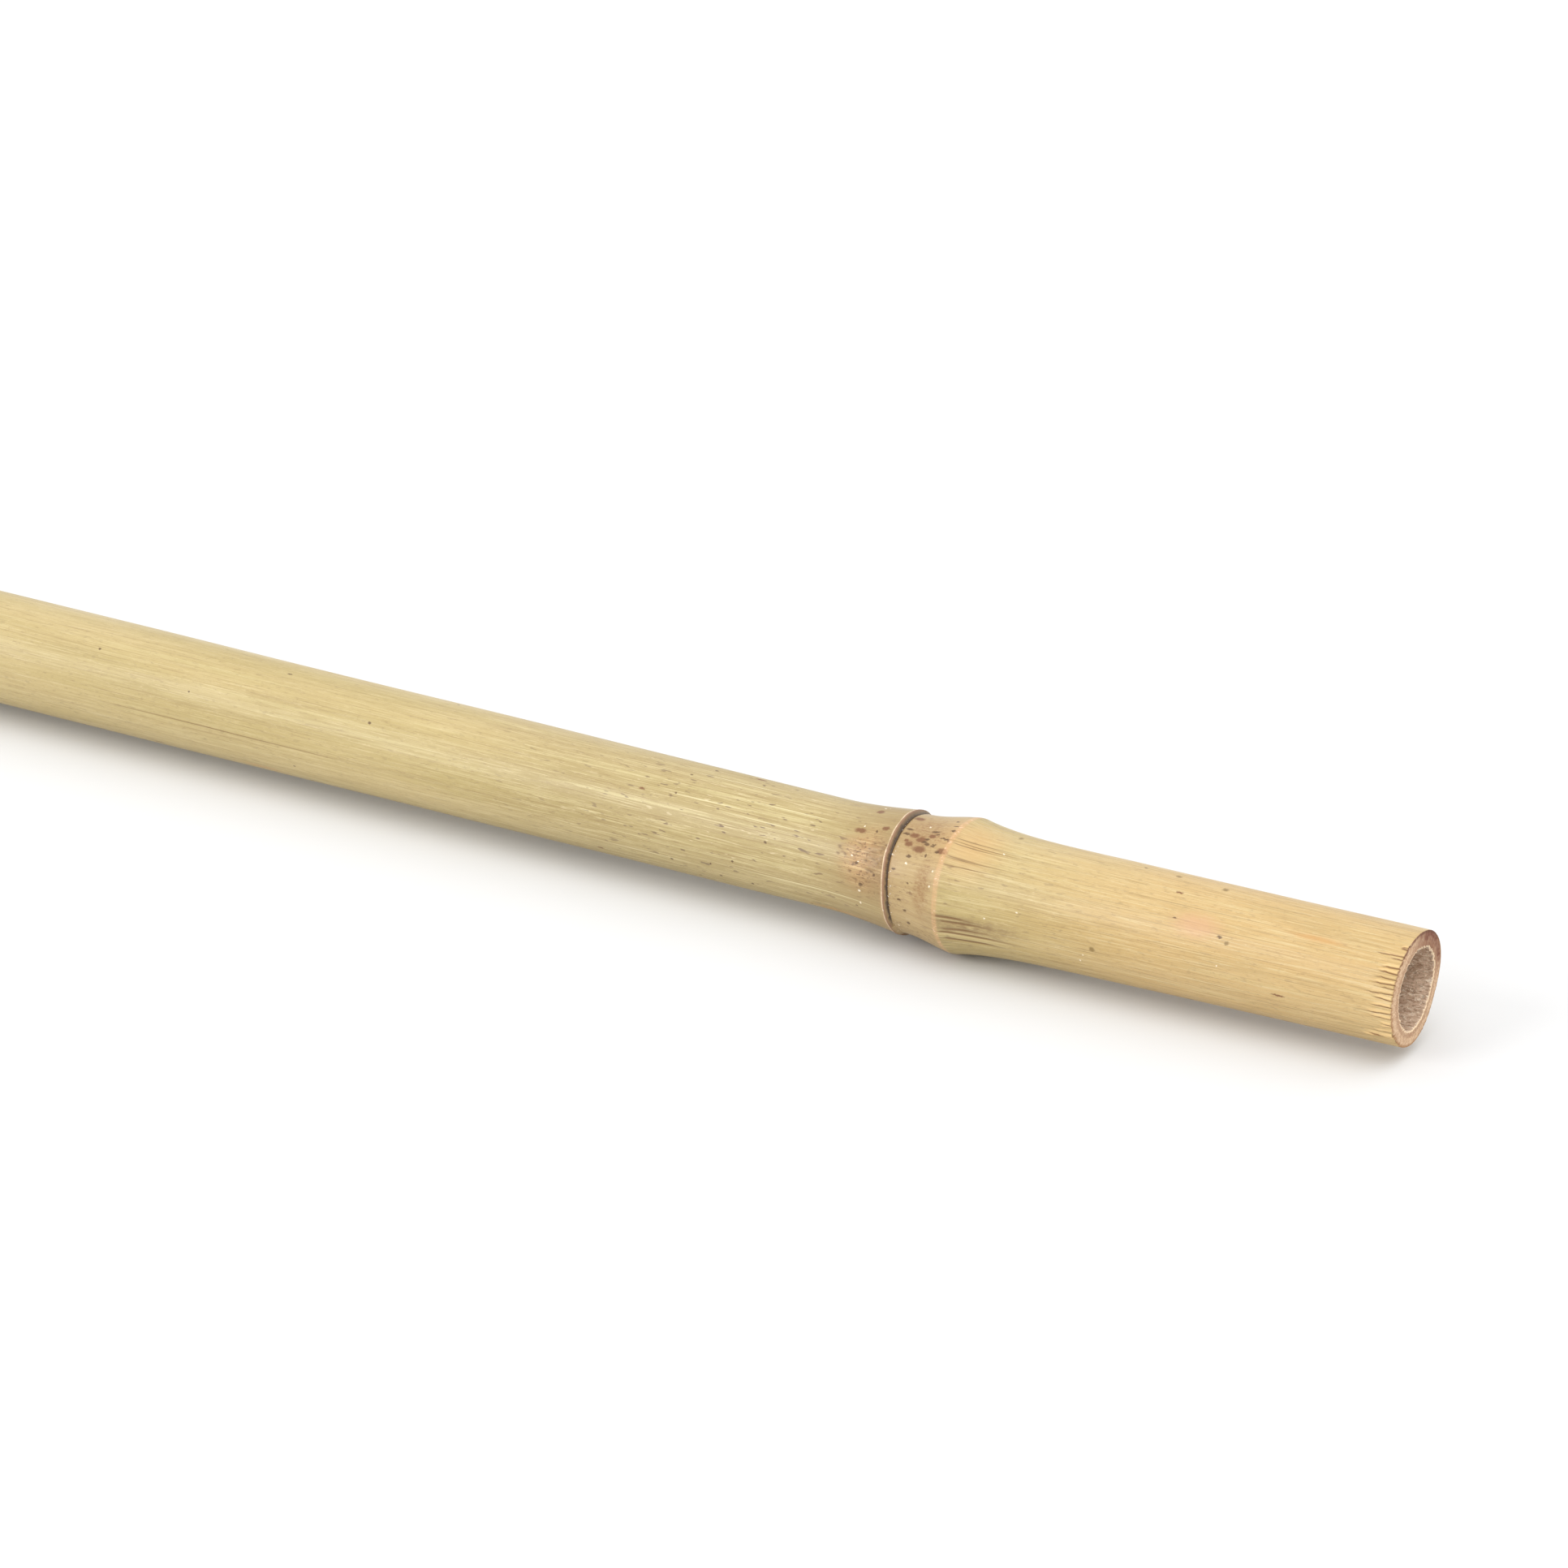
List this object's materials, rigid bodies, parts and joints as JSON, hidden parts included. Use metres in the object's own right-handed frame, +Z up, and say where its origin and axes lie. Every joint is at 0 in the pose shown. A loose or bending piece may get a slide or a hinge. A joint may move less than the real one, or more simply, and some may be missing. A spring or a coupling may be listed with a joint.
{
  "type": "bamboo cane",
  "caption": "Dry bamboo cane lying on its side: a hollow, slightly zigzag culm with raised nodes, sheath scars and both ends sawn square.",
  "frame": {"origin": "middle of the cane's underside, on the surface it lies on", "axes": "+X along the cane from butt to tip, +Y to its side, +Z up"},
  "size_m": [0.6, 0.0278, 0.0259],
  "materials": {
    "bamboo": "dry straw-coloured skin with a soft natural sheen, matt grey-beige sawn ends"
  },
  "bodies": {
    "root": {"bamboo_cane": "bamboo"}
  },
  "joints": []
}
